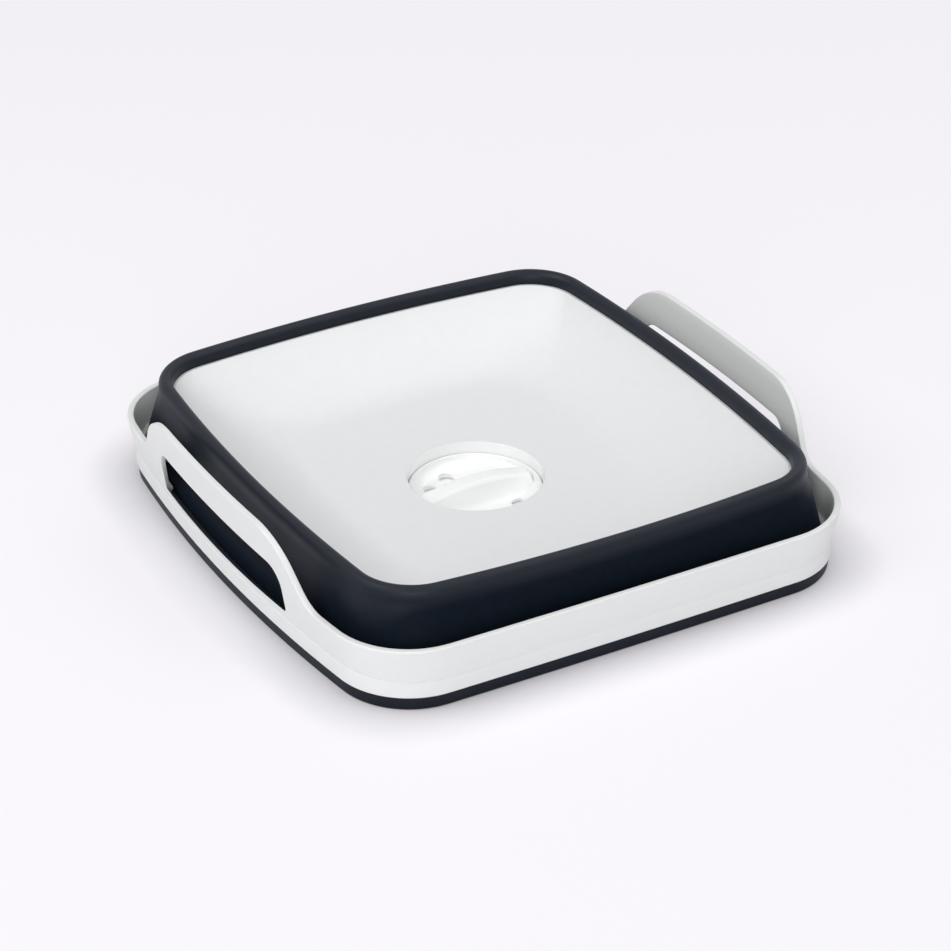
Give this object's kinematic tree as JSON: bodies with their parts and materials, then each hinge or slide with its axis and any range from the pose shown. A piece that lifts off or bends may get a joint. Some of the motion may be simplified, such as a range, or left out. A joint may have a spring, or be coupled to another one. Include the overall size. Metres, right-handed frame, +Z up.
{
  "type": "collapsible washbasin",
  "caption": "Square collapsible washbasin, folded flat: white rim with raised slotted handles, dark fold-over wall, dished white floor and a twist drain plug in the middle.",
  "frame": {"origin": "centre of the basin at the level that the soft skirt stands on", "axes": "+Z up; X runs from handle to handle; Y runs along the handles"},
  "size_m": [0.339, 0.34, 0.073],
  "materials": {
    "rim_white": "satin white polypropylene",
    "floor_white": "satin white polypropylene",
    "drain_white": "bright glossy white ABS",
    "dark_tpe": "satin dark navy thermoplastic elastomer",
    "seal_grey": "matt grey silicone",
    "steel": "plain stainless steel"
  },
  "bodies": {
    "basin": {"floor_panel": "floor_white", "ridge_bead": "dark_tpe", "fold_wall": "dark_tpe", "drain_cup": "drain_white", "cup_gasket": "seal_grey", "retaining_ring": "drain_white"},
    "rim": {"rim_frame": "rim_white", "foot_skirt": "dark_tpe"},
    "plug": {"drain_plug": "drain_white", "plug_seal": "seal_grey", "plug_washer": "steel", "plug_screw": "steel"}
  },
  "joints": [
    {"name": "rim_lift", "type": "slide", "parent": "basin", "child": "rim", "axis": [0, 0, 1], "range_m": [0, 0.088], "deforming": ["fold_wall"]},
    {"name": "plug_twist", "type": "hinge", "parent": "basin", "child": "plug", "pos_m": [0, 0, 0.0175], "axis": [0, 0, 1], "range_deg": [0, 60]}
  ]
}
